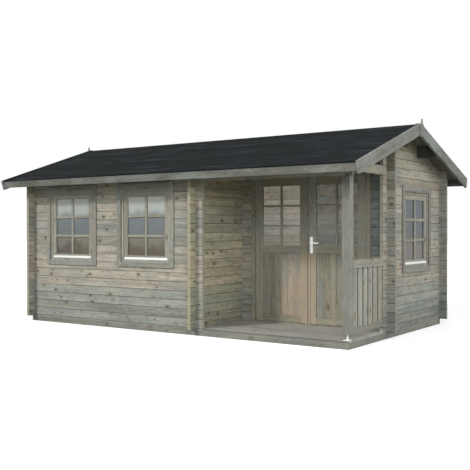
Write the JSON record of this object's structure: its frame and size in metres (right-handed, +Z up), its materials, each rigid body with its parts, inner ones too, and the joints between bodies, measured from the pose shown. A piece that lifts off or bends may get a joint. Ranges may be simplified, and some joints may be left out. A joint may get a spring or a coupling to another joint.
{
  "type": "log garden shed",
  "caption": "Log garden shed with a gable roof, crossed corner logs, barred windows and a glazed double door on a recessed corner veranda with a railing.",
  "frame": {"origin": "middle of the roof's outline in plan, on the ground", "axes": "+X along the long front to the right, +Y from the front to the back, +Z up"},
  "size_m": [5.702, 3.565, 2.6754],
  "materials": {
    "log_wood": "weathered",
    "trim_wood": "weathered",
    "frame_wood": "weathered",
    "door_wood": "weathered",
    "floor_wood": "weathered",
    "soffit_wood": "planed",
    "base_wood": "weathered",
    "roof_felt": "granular",
    "clear_glass": "polished",
    "white_metal": "satin",
    "zinc_steel": "satin",
    "handle_metal": "satin"
  },
  "bodies": {
    "cabin": {"foundation_long_beams": "base_wood", "foundation_cross_beams": "base_wood", "room_floor": "floor_wood", "veranda_floor": "floor_wood", "front_wall": "log_wood", "front_eaves_logs": "log_wood", "rear_wall": "log_wood", "left_gable_wall": "log_wood", "right_gable_wall": "log_wood", "veranda_side_wall": "log_wood", "door_wall_sides": "log_wood", "door_wall_over": "log_wood", "ridge_purlin": "log_wood", "side_purlins": "log_wood", "roof_boards_front": "soffit_wood", "roof_boards_rear": "soffit_wood", "roof_covering_front": "roof_felt", "roof_covering_rear": "roof_felt", "eaves_fascias": "trim_wood", "bargeboards_front": "trim_wood", "bargeboards_rear": "trim_wood", "verge_strips_front": "roof_felt", "verge_strips_rear": "roof_felt", "finials": "trim_wood", "corner_post": "trim_wood", "post_foot": "white_metal", "side_log": "log_wood", "balustrade_rails": "trim_wood", "balusters": "trim_wood", "window_casings": "frame_wood", "window_frames": "frame_wood", "window_sashes": "frame_wood", "window_glass": "clear_glass", "window_drip_strips": "white_metal", "door_jambs": "frame_wood", "door_head": "frame_wood", "door_threshold": "floor_wood", "hinge_pins": "zinc_steel"},
    "left_door": {"left_leaf": "door_wood", "left_leaf_glass": "clear_glass", "left_leaf_hinges": "zinc_steel"},
    "right_door": {"right_leaf": "door_wood", "right_leaf_glass": "clear_glass", "right_leaf_hinges": "zinc_steel", "handle_plates": "handle_metal"},
    "lever": {"lever_handle": "handle_metal"}
  },
  "joints": [
    {"name": "left_door_hinge", "type": "hinge", "parent": "cabin", "child": "left_door", "pos_m": [0.674, -0.428, 1], "axis": [0, 0, -1], "range_deg": [0, 95]},
    {"name": "right_door_hinge", "type": "hinge", "parent": "cabin", "child": "right_door", "pos_m": [2.288, -0.428, 1], "axis": [0, 0, 1], "range_deg": [0, 95]},
    {"name": "lever_turn", "type": "hinge", "parent": "right_door", "child": "lever", "pos_m": [1.5355, -0.396, 1.148], "axis": [0, 1, 0], "range_deg": [0, 40], "stiffness_Nm_per_rad": 1.5, "springref_deg": -17.19}
  ]
}
